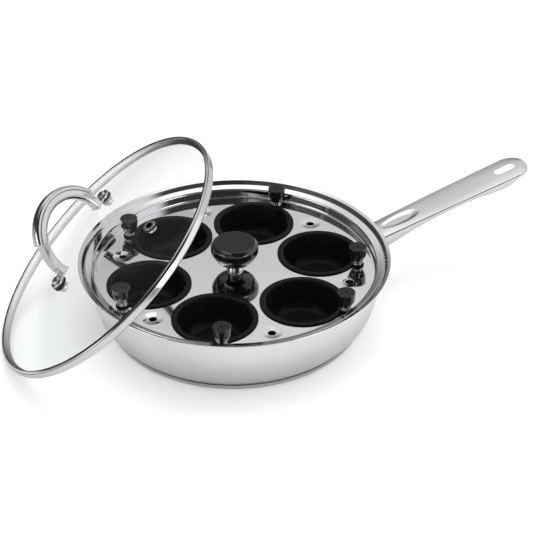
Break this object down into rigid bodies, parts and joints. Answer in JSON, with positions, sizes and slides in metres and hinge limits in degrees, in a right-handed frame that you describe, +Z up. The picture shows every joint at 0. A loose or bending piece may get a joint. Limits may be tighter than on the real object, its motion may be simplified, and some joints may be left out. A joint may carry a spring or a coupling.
{
  "type": "egg poacher pan",
  "caption": "Shallow steel pan with a long handle, a lift-out tray of black egg cups with knobs, and a domed glass lid leaning against it.",
  "frame": {"origin": "middle of the base's under face, on the surface that the pan stands on", "axes": "+Z up, +X along the pan's handle"},
  "size_m": [0.533, 0.2864, 0.1794],
  "materials": {
    "pan_steel": "polished",
    "mirror_steel": "mirror polished",
    "handle_steel": "satin",
    "core_aluminium": "plain",
    "insert_brass": "plain",
    "black_plastic": "gloss",
    "black_coating": "semi-gloss non-stick",
    "gasket_rubber": "matte",
    "lid_glass": "clear"
  },
  "bodies": {
    "pan": {"base_cap": "pan_steel", "base_core": "core_aluminium", "handle_bottom_shell": "handle_steel", "handle_bracket": "handle_steel", "handle_top_shell": "handle_steel", "pan_body": "pan_steel"},
    "poach_tray": {"knob_collar": "mirror_steel", "knob_insert": "insert_brass", "tray": "mirror_steel", "tray_knob": "black_plastic", "tray_screw": "mirror_steel", "tray_washer": "mirror_steel"},
    "egg_cup_1": {"cup_1": "black_coating", "cup_ferrule_1": "mirror_steel", "cup_knob_1": "black_plastic", "cup_stud_1": "mirror_steel"},
    "egg_cup_2": {"cup_2": "black_coating", "cup_ferrule_2": "mirror_steel", "cup_knob_2": "black_plastic", "cup_stud_2": "mirror_steel"},
    "egg_cup_3": {"cup_3": "black_coating", "cup_ferrule_3": "mirror_steel", "cup_knob_3": "black_plastic", "cup_stud_3": "mirror_steel"},
    "egg_cup_4": {"cup_4": "black_coating", "cup_ferrule_4": "mirror_steel", "cup_knob_4": "black_plastic", "cup_stud_4": "mirror_steel"},
    "egg_cup_5": {"cup_5": "black_coating", "cup_ferrule_5": "mirror_steel", "cup_knob_5": "black_plastic", "cup_stud_5": "mirror_steel"},
    "egg_cup_6": {"cup_6": "black_coating", "cup_ferrule_6": "mirror_steel", "cup_knob_6": "black_plastic", "cup_stud_6": "mirror_steel"},
    "lid": {"lid_gasket_1": "gasket_rubber", "lid_gasket_2": "gasket_rubber", "lid_glass": "lid_glass", "lid_grip": "mirror_steel", "lid_nut_1": "mirror_steel", "lid_nut_2": "mirror_steel", "lid_rim": "mirror_steel", "lid_screw_1": "mirror_steel", "lid_screw_2": "mirror_steel", "lid_seal_1": "gasket_rubber", "lid_seal_2": "gasket_rubber", "lid_strap": "mirror_steel", "lid_washer_1": "mirror_steel", "lid_washer_2": "mirror_steel", "vent_eyelet": "mirror_steel", "vent_gasket": "gasket_rubber"}
  },
  "joints": [
    {"name": "tray_lift", "type": "slide", "parent": "pan", "child": "poach_tray", "axis": [0.1324, -0.043, 0.9903], "range_m": [0, 0.044]},
    {"name": "cup_1_lift", "type": "slide", "parent": "poach_tray", "child": "egg_cup_1", "axis": [0, 0, 1], "range_m": [0, 0.042]},
    {"name": "cup_2_lift", "type": "slide", "parent": "poach_tray", "child": "egg_cup_2", "axis": [0, 0, 1], "range_m": [0, 0.042]},
    {"name": "cup_3_lift", "type": "slide", "parent": "poach_tray", "child": "egg_cup_3", "axis": [0, 0, 1], "range_m": [0, 0.042]},
    {"name": "cup_4_lift", "type": "slide", "parent": "poach_tray", "child": "egg_cup_4", "axis": [0, 0, 1], "range_m": [0, 0.042]},
    {"name": "cup_5_lift", "type": "slide", "parent": "poach_tray", "child": "egg_cup_5", "axis": [0, 0, 1], "range_m": [0, 0.042]},
    {"name": "cup_6_lift", "type": "slide", "parent": "poach_tray", "child": "egg_cup_6", "axis": [0, 0, 1], "range_m": [0, 0.042]},
    {"name": "lid_lift", "type": "slide", "parent": "pan", "child": "lid", "axis": [-0.6357, 0.2034, 0.7447], "range_m": [0, 0.15]}
  ]
}
